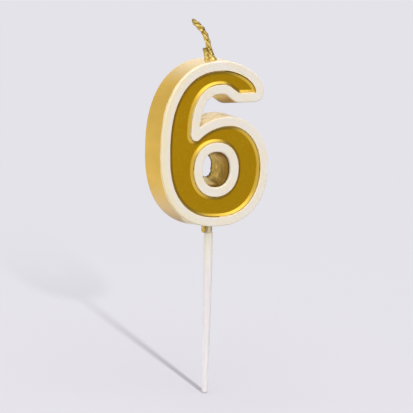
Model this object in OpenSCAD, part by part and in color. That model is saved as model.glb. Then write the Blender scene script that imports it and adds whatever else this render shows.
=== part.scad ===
// Number birthday candle: a moulded wax figure six on a push-in pick.
// The front face looks along -Y and the numeral stands up along +Z.
// The origin is on the pick's axis, at the top of its straight shaft.

/* [Numeral] */
// Depth of the numeral, from the front rim to the back
body_t = 14.3; // [11:0.1:18]
// Width of the white rim around the recessed face
rim_w = 3.9; // [3.4:0.1:4.1]
// How far the outer wall leans out between front and back
draft = 1.1; // [0.2:0.1:1.3]
// How far the counter's wall leans in between front and back
counter_draft = 1.8; // [0.2:0.1:2]
// Radius of the rim's front edges
edge_r = 0.5; // [0.2:0.1:0.6]

/* [Face] */
// Depth of the recessed face
recess_depth = 1.2; // [0.6:0.1:1.5]
// Width of the sloping wall round the recess
bevel_run = 1.2; // [0.6:0.1:1.4]

/* [Lacquer] */
// Thickness of the lacquer coats
film_t = 0.2; // [0.1:0.05:0.3]
// Bare white depth between the front and the side lacquer
bare_rim = 0.9; // [0.8:0.1:2]

/* [Wick] */
// Radius of one of the three plies
ply_r = 0.6; // [0.5:0.02:0.62]
// Length over which the plies make one turn
twist_pitch = 9; // [7:0.5:14]
// Radius of the short loose ply at the wick's foot
short_ply_r = 1.1; // [0.8:0.05:1.15]

/* [Pick] */
// Distance of the pick's axis from the middle of the face
pick_x = 0.9; // [-1:0.1:2]
// Height of the narrow neck between the shaft and the wax
neck_h = 2.9; // [2:0.1:5]
// Radius of the neck
neck_r = 1.7; // [1.4:0.05:1.75]
// Radius of the straight shaft
shaft_r = 1.95; // [1.9:0.05:2.2]
// Length of the straight shaft
shaft_l = 25; // [15:1:40]
// Length of the taper below the shaft
taper_l = 45; // [30:1:55]
// Radius of the round point
point_r = 1.25; // [0.6:0.05:1.6]
// Height of the barbed shank that is cast into the wax
shank_h = 9; // [5:0.5:10]
// Radius of the shank
shank_r = 1.3; // [1:0.1:1.4]
// Number of barbs on the shank
barbs = 3; // [1:1:4]

/* [Hidden] */
eps = 0.01;

// The face outline, in the numeral's own plane: x from the middle, z from its lowest point.
bowl_right = 21.7;
bowl_mid_z = 20.8;
bowl_low_x = 2.4;
bowl_top = [6.2, 38.7];
bowl_top_r = 21.2;
left_mid_z = 28.5;
face_left = -21.6;
face_top = [3.2, 61.9];
inner_wall_x = -11.9;
inner_mid_z = 34.5;
inner_top = [2.6, 56];
hook_r = 7.8;
hook_turn = 33;
hook_end_z = 52.4;
hook_corner_r = 2;
tip_x = 18.5;
tip_mid_z = 53.1;
tip_r = 0.5;
notch_r = 2.3;
least_r = 0.15;

// The counter's own outline, where the white ring meets the recessed face.
ring_c = [0.4, 20.3];
ring_a = 10.55;
ring_b = 11.45;
ring_n = 2.15;
ring_steps = 56;

// Height of the face's lowest point over the wax foot on the pick's axis.
foot_h = 4.4;
lift = neck_h + foot_h;
mid_y = body_t / 2;

// Middle of the wick, from its tip down through the left stroke to the stub beside the pick.
wick_route = [
    [-9.0, mid_y, 82.8], [-7.6, mid_y, 81.5], [-5.7, mid_y, 80.0], [-3.6, mid_y, 77.8],
    [-2.1, mid_y, 75.0], [-1.1, mid_y, 71.9], [-0.5, mid_y, 68.9], [0.1, mid_y, 66.0],
    [0.0, mid_y, 62.8], [-1.9, mid_y, 60.2], [-6.0, mid_y, 58.2], [-10.6, mid_y, 54.2],
    [-14.2, mid_y, 48.2], [-16.2, mid_y, 40.5], [-16.9, mid_y, 31.0], [-16.2, mid_y, 21.5],
    [-13.6, mid_y, 13.5], [-9.4, mid_y, 8.0], [-5.2, mid_y - 0.6, 3.8],
    [-2.6, mid_y - 1.3, -0.6], [-2.1, mid_y - 1.5, -4.0], [-2.1, mid_y - 1.5, -7.2]
];
short_route = [
    [-3.3, mid_y - 1.2, 71.2], [-2.8, mid_y - 1.2, 68.6], [-2.2, mid_y - 1.2, 66.0],
    [-2.1, mid_y - 1.6, 63.8], [-2.2, mid_y - 2.0, 63.0]
];
ply_ring = ply_r * 1.2;
wick_r = ply_ring + ply_r + 0.04;
wick_steps = 5;
ply_sides = 8;
channel_sides = 10;

// One point of a quarter of a superellipse about c, moved out along its normal by d.
function oval_point(c, a, b, n, t, d) =
    let (
        ct = cos(t),
        st = sin(t),
        nx = sign(ct) * pow(abs(ct), 2 - 2 / n) / a,
        nz = sign(st) * pow(abs(st), 2 - 2 / n) / b,
        l = norm([nx, nz])
    )
    [
        c.x + a * sign(ct) * pow(abs(ct), 2 / n) + d * nx / l,
        c.y + b * sign(st) * pow(abs(st), 2 / n) + d * nz / l
    ];

// An arc of such an oval, without its last point.
function oval_arc(c, a, b, n, from, to, steps, d) =
    [for (i = [0 : steps - 1]) oval_point(c, a, b, n, from + (to - from) * i / steps, d)];

// An arc of a circle, without its last point.
function round_arc(c, r, from, to, steps) =
    [for (i = [0 : steps - 1]) let (t = from + (to - from) * i / steps) c + r * [cos(t), sin(t)]];

// The angle between lo and hi where f turns from positive to negative.
function turning(f, lo, hi, left = 30) =
    left == 0 ? (lo + hi) / 2
    : let (mid = (lo + hi) / 2)
      f(mid) > 0 ? turning(f, mid, hi, left - 1) : turning(f, lo, mid, left - 1);

function angle_to(from, to) = atan2(to.y - from.y, to.x - from.x);

// The inner wall of the stroke and the outer curve of the hook, moved out of the gold by d.
function inner_wall(t, d) =
    oval_point([inner_top.x, inner_mid_z], inner_top.x - inner_wall_x, inner_top.y - inner_mid_z, 2.4, t, -d);
function hook_back(t, d) =
    oval_point([face_top.x, tip_mid_z], tip_x - face_top.x, face_top.y - tip_mid_z, 1.75, t, d);

// The whole face outline, moved out by d, anticlockwise as seen from the front.
function face_outline(d) =
    let (
        bowl_c = bowl_top - [0, bowl_top_r],
        nr = max(notch_r - d, least_r),
        notch_t = turning(function(t) bowl_top_r + d + nr - norm(inner_wall(t, d + nr) - bowl_c), 180, 90),
        notch_c = inner_wall(notch_t, d + nr),
        notch_a = angle_to(bowl_c, notch_c),
        wall_a = angle_to(notch_c, inner_wall(notch_t, d)),
        hook_c = inner_top - [0, hook_r],
        slope = [cos(hook_turn), -sin(hook_turn)],
        slope_out = [-sin(hook_turn), -cos(hook_turn)],
        hook_foot = hook_c - hook_r * slope_out,
        corner_z = hook_end_z + hook_corner_r,
        slide = (corner_z - (hook_foot - hook_corner_r * slope_out).y) / slope.y,
        corner_c = hook_foot - hook_corner_r * slope_out + slide * slope,
        tr = max(tip_r + d, least_r),
        tip_t = turning(function(t) hook_end_z - d + tr - hook_back(t, d - tr).y, 0, 90),
        tip_c = hook_back(tip_t, d - tr),
        tip_a = angle_to(tip_c, hook_back(tip_t, d))
    )
    concat(
        oval_arc([bowl_low_x, bowl_mid_z], bowl_right - bowl_low_x, bowl_mid_z, 2.2, -90, 0, 14, d),
        oval_arc([bowl_top.x, bowl_mid_z], bowl_right - bowl_top.x, bowl_top.y - bowl_mid_z, 2, 0, 90, 12, d),
        round_arc(bowl_c, bowl_top_r + d, 90, notch_a, 7),
        round_arc(notch_c, nr, notch_a - 180, wall_a - 360, 4),
        [for (i = [0 : 10]) inner_wall(notch_t + (90 - notch_t) * i / 11, d)],
        round_arc(hook_c, hook_r - d, 90, 90 - hook_turn, 4),
        round_arc(corner_c, hook_corner_r + d, -90 - hook_turn, -90, 3),
        round_arc(tip_c, tr, -90, tip_a, 5),
        [for (i = [0 : 8]) hook_back(tip_t + (90 - tip_t) * i / 9, d)],
        oval_arc([face_top.x, left_mid_z], face_top.x - face_left, face_top.y - left_mid_z, 2.4, 90, 180, 16, d),
        oval_arc([bowl_low_x, left_mid_z], bowl_low_x - face_left, left_mid_z, 2.5, 180, 270, 15, d)
    );

// The ring round the counter, moved out by d.
function ring_outline(d) = oval_arc(ring_c, ring_a, ring_b, ring_n, 0, 360, ring_steps, d);

// How far outside the face the outer wall lies at depth y, and the counter's wall inside its ring.
function wall_d(y) = rim_w + draft * y / body_t;
function hole_d(y) = -rim_w - counter_draft * y / body_t;

// Moves a shape from the numeral's own plane into the part's frame.
module place() {
    translate([-pick_x, -mid_y, lift]) children();
}

// Side faces between outlines of equal length, ring j to ring k.
function band(j, k, n) =
    [for (i = [0 : n - 1]) let (m = (i + 1) % n) each [
        [j * n + i, j * n + m, k * n + i],
        [j * n + m, k * n + m, k * n + i]
    ]];

// Triangles that fill a flat outline, by cutting off one ear after another.
function turn_area(a, b, c) = (b.x - a.x) * (c.y - a.y) - (b.y - a.y) * (c.x - a.x);
function covers(p, a, b, c) = turn_area(a, b, p) >= 0 && turn_area(b, c, p) >= 0 && turn_area(c, a, p) >= 0;
function corner(left, k) = [left[(k + len(left) - 1) % len(left)], left[k], left[(k + 1) % len(left)]];
function is_ear(pts, left, k) =
    let (e = corner(left, k), a = pts[e[0]], b = pts[e[1]], c = pts[e[2]])
    turn_area(a, b, c) > 0 && len([for (j = left) if (len(search(j, e)) == 0 && covers(pts[j], a, b, c)) j]) == 0;
function next_ear(pts, left, k) = is_ear(pts, left, k % len(left)) ? k % len(left) : next_ear(pts, left, k + 1);
function ears(pts, left, k = 0) =
    len(left) == 3 ? [left]
    : let (e = next_ear(pts, left, k))
      concat([corner(left, e)], ears(pts, [for (i = [0 : len(left) - 1]) if (i != e) left[i]], e + 1));

function stack_points(stack) = [for (s = stack) for (p = s[1]) [p.x, s[0], p.y]];

// A closed solid through a stack of outlines, each given with its depth.
module loft(stack) {
    n = len(stack[0][1]);
    last = len(stack) - 1;
    order = [for (i = [0 : n - 1]) i];
    polyhedron(
        stack_points(stack),
        concat(
            [for (j = [0 : last - 1]) each band(j, j + 1, n)],
            [for (t = ears(stack[0][1], order)) [t[2], t[1], t[0]]],
            [for (t = ears(stack[last][1], order)) last * n * [1, 1, 1] + t]
        )
    );
}

// A shell whose section runs through the stack and back to its start.
module sleeve(stack) {
    n = len(stack[0][1]);
    m = len(stack);
    polyhedron(stack_points(stack), [for (j = [0 : m - 1]) each band(j, (j + 1) % m, n)]);
}

// Depth and offset pairs of a rounded front edge that turns from the front plane into the wall.
function round_edge(side) =
    [for (t = [90, 60, 30, 0]) [edge_r * (1 - sin(t)), side * (rim_w - edge_r * (1 - cos(t)))]];

function outlines(pairs) = [for (p = pairs) [p[0], face_outline(p[1])]];
function ring_outlines(pairs) = [for (p = pairs) [p[0], ring_outline(p[1])]];

// The numeral without its recess and channels, cut back for the lacquer by film_t.
module numeral() {
    difference() {
        loft(outlines(concat(
            round_edge(1),
            [
                [bare_rim, wall_d(bare_rim)],
                [bare_rim, wall_d(bare_rim) - film_t],
                [body_t - edge_r, wall_d(body_t) - film_t],
                [body_t, wall_d(body_t) - film_t - edge_r]
            ]
        )));
        loft(ring_outlines(concat(
            [[-1, -rim_w + edge_r]],
            round_edge(-1),
            [
                [bare_rim, hole_d(bare_rim)],
                [bare_rim, hole_d(bare_rim) + film_t],
                [body_t + 1, hole_d(body_t + 1) + film_t]
            ]
        )));
    }
}

// The recess in the face, floor at depth h, its walls moved in by d, reaching rise in front of it.
module recess(h, d, rise) {
    difference() {
        loft(outlines(concat(rise > 0 ? [[-rise, -d]] : [], [[0, -d], [h, -d - bevel_run]])));
        loft(ring_outlines([[-rise - 1, d], [0, d], [h, d + bevel_run], [h + 1, d + bevel_run]]));
    }
}

// Evenly divided smooth curve through a route's points.
function curve_point(p, i, t) =
    let (
        last = len(p) - 1,
        a = p[max(i - 1, 0)],
        b = p[i],
        c = p[i + 1],
        e = p[min(i + 2, last)]
    )
    0.5 * (2 * b + (c - a) * t + (2 * a - 5 * b + 4 * c - e) * t * t + (3 * b - a - 3 * c + e) * t * t * t);

function smooth_route(p, steps) =
    concat(
        [for (i = [0 : len(p) - 2]) for (s = [0 : steps - 1]) curve_point(p, i, s / steps)],
        [p[len(p) - 1]]
    );

function run_lengths(p, i = 0, sum = 0) =
    i >= len(p) - 1 ? [sum] : concat([sum], run_lengths(p, i + 1, sum + norm(p[i + 1] - p[i])));

function unit(v) = v / norm(v);
function heading(p, i) = unit(p[min(i + 1, len(p) - 1)] - p[max(i - 1, 0)]);
function side_vec(h) = unit([0, 1, 0] - h.y * h);

// A round strand along p, its middle on a helix of radius orbit, its ends drawn in to a dome.
module strand(p, r, orbit, phase, sides) {
    runs = run_lengths(p);
    last = len(p) - 1;
    rings = [for (i = [0 : last])
        let (
            h = heading(p, i),
            u = side_vec(h),
            v = cross(u, h),
            turn = orbit > 0 ? phase + 360 * runs[i] / twist_pitch : 0,
            c = p[i] + orbit * (cos(turn) * u + sin(turn) * v),
            shrink = i == 0 || i == last ? 0.55 : 1
        )
        [for (k = [0 : sides - 1]) let (t = turn + 360 * k / sides) c + shrink * r * (cos(t) * u + sin(t) * v)]
    ];
    polyhedron(
        [for (ring = rings) each ring],
        concat(
            [for (j = [0 : last - 1]) each band(j, j + 1, sides)],
            [[for (k = [sides - 1 : -1 : 0]) k]],
            [[for (k = [0 : sides - 1]) last * sides + k]]
        )
    );
}

// The holes that the wick and the loose ply leave in the wax.
module wick_channel() {
    strand(smooth_route(wick_route, 2), wick_r, 0, 0, channel_sides);
    strand(smooth_route(short_route, 2), short_ply_r + 0.03, 0, 0, channel_sides);
}

// The pick's shape above the origin: neck, shoulder and barbed shank.
module pick_head() {
    cylinder(r = neck_r, h = neck_h + 1, $fn = 48);
    translate([0, 0, neck_h + 1 - eps]) cylinder(r = shank_r, h = shank_h, $fn = 48);
    for (i = [1 : barbs]) {
        translate([0, 0, neck_h + 1 + shank_h * i / (barbs + 1) - 0.6])
            cylinder(r1 = neck_r - 0.1, r2 = shank_r, h = 1.2, $fn = 48);
    }
}

module wax_body() color("ivory") difference() {
    place() numeral();
    place() recess(recess_depth + film_t, 0, 1);
    place() wick_channel();
    pick_head();
}

module face_lacquer() color("darkgoldenrod") place() difference() {
    recess(recess_depth + film_t, 0, 0);
    recess(recess_depth, film_t, 1);
}

module side_lacquer() color("goldenrod") difference() {
    place() sleeve(outlines([
        [bare_rim, wall_d(bare_rim) - film_t],
        [bare_rim, wall_d(bare_rim)],
        [body_t - edge_r, wall_d(body_t)],
        [body_t, wall_d(body_t) - edge_r],
        [body_t, wall_d(body_t) - film_t - edge_r],
        [body_t - edge_r, wall_d(body_t) - film_t]
    ]));
    place() wick_channel();
    pick_head();
}

module counter_lacquer() color("peru") place() sleeve(ring_outlines([
    [bare_rim, hole_d(bare_rim)],
    [bare_rim, hole_d(bare_rim) + film_t],
    [body_t, hole_d(body_t) + film_t],
    [body_t, hole_d(body_t)]
]));

module wick_ply(phase) color("goldenrod") place()
    strand(smooth_route(wick_route, wick_steps), ply_r, ply_ring, phase, ply_sides);

module wick_ply_a() wick_ply(0);
module wick_ply_b() wick_ply(120);
module wick_ply_c() wick_ply(240);

module wick_short_ply() color("goldenrod") place()
    strand(smooth_route(short_route, wick_steps), short_ply_r, 0, 0, ply_sides);

module pick() color("white") {
    pick_head();
    translate([0, 0, -shaft_l]) cylinder(r = shaft_r, h = shaft_l, $fn = 48);
    translate([0, 0, -shaft_l - taper_l]) cylinder(r1 = point_r, r2 = shaft_r, h = taper_l, $fn = 48);
    translate([0, 0, -shaft_l - taper_l]) sphere(r = point_r, $fn = 48);
}

wax_body();
face_lacquer();
side_lacquer();
counter_lacquer();
wick_ply_a();
wick_ply_b();
wick_ply_c();
wick_short_ply();
pick();
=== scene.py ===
"""The looks of a number birthday candle: a wax figure six with gold lacquer, a twisted wick and a pick."""
import math

import bmesh
import bpy
import numpy as np
from mathutils import Matrix, Vector, geometry, noise


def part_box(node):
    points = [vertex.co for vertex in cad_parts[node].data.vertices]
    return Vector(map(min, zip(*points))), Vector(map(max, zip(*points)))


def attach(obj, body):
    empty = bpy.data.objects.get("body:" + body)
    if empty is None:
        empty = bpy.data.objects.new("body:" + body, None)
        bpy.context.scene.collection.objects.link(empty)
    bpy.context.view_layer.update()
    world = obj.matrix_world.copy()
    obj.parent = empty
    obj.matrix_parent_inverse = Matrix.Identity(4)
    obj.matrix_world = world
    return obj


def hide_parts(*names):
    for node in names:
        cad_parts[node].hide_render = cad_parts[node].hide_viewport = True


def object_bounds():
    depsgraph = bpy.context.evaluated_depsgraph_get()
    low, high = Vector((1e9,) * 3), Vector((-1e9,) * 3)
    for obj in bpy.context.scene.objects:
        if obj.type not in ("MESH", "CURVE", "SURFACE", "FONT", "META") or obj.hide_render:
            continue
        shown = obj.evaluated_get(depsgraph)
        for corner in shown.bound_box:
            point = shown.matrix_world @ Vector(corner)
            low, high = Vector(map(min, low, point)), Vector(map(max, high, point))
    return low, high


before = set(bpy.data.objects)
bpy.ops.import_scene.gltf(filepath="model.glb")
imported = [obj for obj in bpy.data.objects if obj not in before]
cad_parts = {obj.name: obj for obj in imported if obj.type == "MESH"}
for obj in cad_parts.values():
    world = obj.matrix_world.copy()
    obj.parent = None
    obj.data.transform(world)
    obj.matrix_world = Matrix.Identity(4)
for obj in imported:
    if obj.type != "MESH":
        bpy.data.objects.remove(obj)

cad_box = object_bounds()
MM = 0.001

# ---------------------------------------------------------------- sizes, in millimetres

# The face outline, in the numeral's own plane: x from the middle, z from its lowest point.
BOWL_RIGHT = 21.7
BOWL_MID_Z = 20.8
BOWL_LOW_X = 2.4
BOWL_TOP = Vector((6.2, 38.7))
BOWL_TOP_R = 21.2
LEFT_MID_Z = 28.5
FACE_LEFT = -21.6
FACE_TOP = Vector((3.2, 61.9))
INNER_WALL_X = -11.9
INNER_MID_Z = 34.5
INNER_TOP = Vector((2.6, 56))
HOOK_R = 7.8
HOOK_TURN = 33
HOOK_END_Z = 52.4
HOOK_CORNER_R = 2
TIP_X = 18.5
TIP_MID_Z = 53.1
TIP_R = 0.5
NOTCH_R = 2.3
LEAST_R = 0.15
RING_C = Vector((0.4, 20.3))
RING_A = 10.55
RING_B = 11.45

# How square each curve of the outlines is: 2 is an ellipse, more is squarer and less is more pointed.
RING_N = 2.15
BOWL_LOW_N = 2.2
BOWL_TOP_N = 2
INNER_WALL_N = 2.4
HOOK_N = 1.75
TOP_LEFT_N = 2.4
LOW_LEFT_N = 2.5

# Widths of the rim and of the walls, as in the CAD model.
RIM_W = 3.9
DRAFT = 1.1
COUNTER_DRAFT = 1.8
EDGE_R = 0.5
RECESS_DEPTH = 1.2
BEVEL_RUN = 1.2
FILM_T = 0.2
BARE_RIM = 0.9

# Finer shapes on the wax, which the CAD leaves out.
INNER_EDGE_R = 0.14
HOLE_CHAMFER = 0.3
BACK_DISH = -0.12

# How far rings lie from the edges of the wax's flats, so that the flats are shaded flat.
FLAT_START = 0.6
FLAT_END = 0.3
SHOULDER_Y = 0.7
BACK_FLAT = 0.4
FLOOR_SKIRT = 0.5

# The wick: PLY_R and PLY_RING are the CAD model's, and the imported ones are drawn.
PLY_R = 0.6
PLY_RING = 1.2 * PLY_R
TWIST_PITCH = 9
SHORT_PLY_R = 1.1
PACKED_R = 0.72
PACKED_RING = PLY_R + PLY_RING - PACKED_R
YARNS = 5
CREASE_RUN = 6.9
BULGE_RUN = 4.5
ROUTE_SPACING = 0.2

# The collar of lacquer at the wick's foot, and the sealed stub at its other end.
COLLAR_SINK = 0.5
COLLAR_H = 4.4
COLLAR_LEAN = -0.35
COLLAR_R = 1.32
COLLAR_SPREAD = 1.95
STUB_R = 1.08
STUB_L = 5.5
STUB_DOME = 0.7
STUB_SHIFT = Vector((-0.15, 0, 0))
IN_WAX_RUN = 20

# The pick, above and below its shaft's top end. The drawn neck is a little slimmer than the CAD's.
NECK_H = 2.9
NECK_R = 1.6
SHANK_Z = NECK_H + 1
SHANK_H = 9
SHANK_R = 1.3
BARBS = 3
BARB_L = 1.2
SHAFT_L = 25
TOP_EDGE_R = 0.45
POINT_R = 1.25

# The pick's moulding seam: its half width in degrees, and its height as a part of the pick's radius.
SEAM_WIDTH = 4
SEAM_RISE = 0.02

# Where the numeral lies in the part's frame, and the sizes that come from the CAD model's boxes.
face_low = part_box("face_lacquer")[0] / MM
wax_low, wax_high = (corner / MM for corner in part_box("wax_body"))
pick_low, pick_high = (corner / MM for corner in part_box("pick"))
PLACE = Vector((face_low.x - FACE_LEFT, wax_low.y, face_low.z))
DEPTH = wax_high.y - wax_low.y
MID_Y = DEPTH / 2
SHAFT_R = pick_high.x
FLOOR_Z = pick_low.z

# Where the wax flash lies round the counter, in degrees.
FLASH_T = 262
FLASH_WIDTH = 34

# How finely things are divided. FINE is against the CAD model's own steps.
FINE = 4
RING_STEPS = 224
ROUND_STEPS = 6
SIDE_STEPS = 12
COUNTER_STEPS = 45
PLY_SIDES = 40
COLLAR_SIDES = 96
COLLAR_STEPS = 40
STUB_SIDES = 48
PICK_SIDES = 96
CAP_SPACING = 1.3
CAP_MARGIN = 0.5


# ---------------------------------------------------------------- outlines

def polar(radius, degrees):
    """The point at that radius and angle about the origin, in the plane of an outline."""
    turn = math.radians(degrees)
    return Vector((radius * math.cos(turn), radius * math.sin(turn)))


def oval_point(centre, a, b, n, t, d):
    """The point at angle t of a superellipse of power n about centre, moved out along its normal by d."""
    c, s = math.cos(math.radians(t)), math.sin(math.radians(t))
    sign_c, sign_s = math.copysign(1, c), math.copysign(1, s)
    normal = Vector((sign_c * abs(c) ** (2 - 2 / n) / a, sign_s * abs(s) ** (2 - 2 / n) / b)).normalized()
    return centre + Vector((a * sign_c * abs(c) ** (2 / n), b * sign_s * abs(s) ** (2 / n))) + d * normal


def bell(value, middle, width):
    """1 at middle, falling smoothly to 0 over about two widths on each side."""
    return math.exp(-((value - middle) / width) ** 2)


def grown(value, run, power=0.5):
    """Rises from 0 to 1 over the first run, and stays there."""
    return min(1, max(0, value) / run) ** power


def spread(low, high, steps):
    """Evenly spaced values from low up to, but without, high."""
    return [low + (high - low) * i / steps for i in range(steps)]


def oval_arc(centre, a, b, n, low, high, steps, d):
    return [oval_point(centre, a, b, n, t, d) for t in spread(low, high, steps)]


def round_arc(centre, radius, low, high, steps):
    return [centre + polar(radius, t) for t in spread(low, high, steps)]


def turning(f, low, high):
    """The angle between low and high where f turns from positive to negative."""
    for _ in range(40):
        middle = (low + high) / 2
        if f(middle) > 0:
            low = middle
        else:
            high = middle
    return (low + high) / 2


def angle_to(start, end):
    return math.degrees(math.atan2(end.y - start.y, end.x - start.x))


def inner_wall(t, d):
    """The left wall of the open aperture, at angle t and moved out of the gold face by d."""
    centre = Vector((INNER_TOP.x, INNER_MID_Z))
    return oval_point(centre, INNER_TOP.x - INNER_WALL_X, INNER_TOP.y - INNER_MID_Z, INNER_WALL_N, t, -d)


def hook_back(t, d):
    """The hook's outer edge down to its end, at angle t and moved out by d."""
    centre = Vector((FACE_TOP.x, TIP_MID_Z))
    return oval_point(centre, TIP_X - FACE_TOP.x, FACE_TOP.y - TIP_MID_Z, HOOK_N, t, d)


def face_outline(d):
    """The whole face outline, moved out by d, anticlockwise as seen from the front: the bowl's right side
    and top, the notch, the aperture's wall, the hook's underside, corner, tip and back, and the left side."""
    bowl_c = BOWL_TOP - Vector((0, BOWL_TOP_R))
    notch_r = max(NOTCH_R - d, LEAST_R)
    reach = BOWL_TOP_R + d + notch_r
    notch_t = turning(lambda t: reach - (inner_wall(t, d + notch_r) - bowl_c).length, 180, 90)
    notch_c = inner_wall(notch_t, d + notch_r)
    notch_a = angle_to(bowl_c, notch_c)
    wall_a = angle_to(notch_c, inner_wall(notch_t, d))
    hook_c = INNER_TOP - Vector((0, HOOK_R))
    slope = polar(1, -HOOK_TURN)
    slope_out = polar(1, -90 - HOOK_TURN)
    hook_foot = hook_c - HOOK_R * slope_out
    corner_c = hook_foot - HOOK_CORNER_R * slope_out
    corner_c = corner_c + (HOOK_END_Z + HOOK_CORNER_R - corner_c.y) / slope.y * slope
    tip_r = max(TIP_R + d, LEAST_R)
    tip_t = turning(lambda t: HOOK_END_Z - d + tip_r - hook_back(t, d - tip_r).y, 0, 90)
    tip_c = hook_back(tip_t, d - tip_r)
    tip_a = angle_to(tip_c, hook_back(tip_t, d))
    low_c = Vector((BOWL_LOW_X, BOWL_MID_Z))
    right_c = Vector((BOWL_TOP.x, BOWL_MID_Z))
    top_c = Vector((FACE_TOP.x, LEFT_MID_Z))
    left_c = Vector((BOWL_LOW_X, LEFT_MID_Z))
    bowl_h = BOWL_TOP.y - BOWL_MID_Z
    top_h = FACE_TOP.y - LEFT_MID_Z
    return (
        oval_arc(low_c, BOWL_RIGHT - BOWL_LOW_X, BOWL_MID_Z, BOWL_LOW_N, -90, 0, 14 * FINE, d)
        + oval_arc(right_c, BOWL_RIGHT - BOWL_TOP.x, bowl_h, BOWL_TOP_N, 0, 90, 12 * FINE, d)
        + round_arc(bowl_c, BOWL_TOP_R + d, 90, notch_a, 7 * FINE)
        + round_arc(notch_c, notch_r, notch_a - 180, wall_a - 360, 4 * FINE)
        + [inner_wall(t, d) for t in spread(notch_t, 90, 11 * FINE)]
        + round_arc(hook_c, HOOK_R - d, 90, 90 - HOOK_TURN, 4 * FINE)
        + round_arc(corner_c, HOOK_CORNER_R + d, -90 - HOOK_TURN, -90, 3 * FINE)
        + round_arc(tip_c, tip_r, -90, tip_a, 5 * FINE)
        + [hook_back(t, d) for t in spread(tip_t, 90, 9 * FINE)]
        + oval_arc(top_c, FACE_TOP.x - FACE_LEFT, top_h, TOP_LEFT_N, 90, 180, 16 * FINE, d)
        + oval_arc(left_c, BOWL_LOW_X - FACE_LEFT, LEFT_MID_Z, LOW_LEFT_N, 180, 270, 15 * FINE, d)
    )


def ring_outline(d):
    """The ring round the counter, moved out by d."""
    return oval_arc(RING_C, RING_A, RING_B, RING_N, 0, 360, RING_STEPS, d)


def wall_d(y):
    """How far outside the face outline the outer wall lies at depth y."""
    return RIM_W + DRAFT * y / DEPTH


def hole_d(y):
    """How far outside the ring outline the counter's wall lies at depth y: it lies inside, so below 0."""
    return -RIM_W - COUNTER_DRAFT * y / DEPTH


def bend(centre_y, centre_d, radius, low, high):
    """Depth and offset pairs on a rounded edge. 0 degrees points out along d and 90 to the back."""
    points = [polar(radius, t) for t in spread(low, high, ROUND_STEPS) + [high]]
    return [(centre_y + p.y, centre_d + p.x) for p in points]


# ---------------------------------------------------------------- meshes

def lies_inside(loop, points):
    """For each of the points, whether it lies inside the closed loop."""
    inside = np.zeros(len(points), bool)
    ends = np.roll(loop, -1, axis=0)
    for (ax, az), (bx, bz) in zip(loop, ends):
        if az != bz:
            crosses = (az > points[:, 1]) != (bz > points[:, 1])
            inside ^= crosses & (points[:, 0] < (bx - ax) * (points[:, 1] - az) / (bz - az) + ax)
    return inside


class Shell:
    """A mesh that is gathered in the numeral's own frame and becomes a piece in the part's frame."""

    def __init__(self):
        self.points = []
        self.faces = []

    def add(self, points):
        first = len(self.points)
        self.points += [Vector(p) for p in points]
        return list(range(first, len(self.points)))

    def ring(self, outline, y):
        return self.add((p.x, y, p.y) for p in outline)

    def bridge(self, low, high):
        for i in range(len(low)):
            k = (i + 1) % len(low)
            self.faces.append((low[i], low[k], high[k], high[i]))

    def join(self, rings):
        """Walls from each ring to the next."""
        for low, high in zip(rings, rings[1:]):
            self.bridge(low, high)

    def close(self, rings):
        """One flat face over the first ring and one over the last."""
        self.faces += [tuple(rings[0]), tuple(rings[-1])]

    def run(self, outline_of, pairs):
        """Rings at each depth and offset pair, joined one to the next."""
        rings = [self.ring(outline_of(d), y) for y, d in pairs]
        self.join(rings)
        return rings

    def cap(self, outer, hole, dish=0.0):
        """Fills a flat outline, less its hole, with even triangles. dish moves the middle in y."""
        loops = [[self.points[i] for i in loop] for loop in (outer, hole)]
        flat = [np.array([(p.x, p.z) for p in loop]) for loop in loops]
        y = loops[0][0].y
        low, high = flat[0].min(0), flat[0].max(0)
        columns = np.arange(low[0], high[0], CAP_SPACING)
        rows = np.arange(low[1], high[1], CAP_SPACING * 0.87)
        grid = np.array([(x + CAP_SPACING / 2 * (k % 2), z) for k, z in enumerate(rows) for x in columns])
        rim = np.concatenate(flat)
        near = np.array([((rim - g) ** 2).sum(1).min() for g in grid]) ** 0.5
        keep = lies_inside(flat[0], grid) & (near > CAP_MARGIN) & ~lies_inside(flat[1], grid)
        inner = [tuple(g) for g in grid[keep]]
        depths = [y + dish * min(1, d / 6) for d in near[keep]]
        ids = list(outer) + list(hole) + self.add((g[0], d, g[1]) for g, d in zip(inner, depths))
        edges, first = [], 0
        for loop in flat:
            edges += [(first + i, first + (i + 1) % len(loop)) for i in range(len(loop))]
            first += len(loop)
        given = [Vector(p) for p in rim] + [Vector(p) for p in inner]
        spots, _, faces, origins, _, _ = geometry.delaunay_2d_cdt(given, edges, [], 0, 1e-7)
        middles = np.array([sum((np.array(spots[i]) for i in f), np.zeros(2)) / len(f) for f in faces])
        inside = lies_inside(flat[0], middles) & ~lies_inside(flat[1], middles)
        for face, wanted in zip(faces, inside):
            if wanted:
                self.faces.append(tuple(ids[origins[i][0]] for i in face))

    def piece(self, name, smooth_angle=35, place=PLACE):
        """The finished object. Edges sharper than smooth_angle, in degrees, are shaded as edges."""
        mesh = bpy.data.meshes.new(name)
        mesh.from_pydata([(p + place) * MM for p in self.points], [], self.faces)
        work = bmesh.new()
        work.from_mesh(mesh)
        bmesh.ops.recalc_face_normals(work, faces=work.faces)
        work.to_mesh(mesh)
        work.free()
        mesh.shade_smooth()
        mesh.set_sharp_from_angle(angle=math.radians(smooth_angle))
        piece = bpy.data.objects.new(name, mesh)
        bpy.context.scene.collection.objects.link(piece)
        return piece


def mark(piece, **columns):
    """Gives every point of a piece a value under each name, for its finish to read."""
    for label, values in columns.items():
        piece.data.attributes.new(label, "FLOAT", "POINT").data.foreach_set("value", values)


# ---------------------------------------------------------------- the numeral

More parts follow.
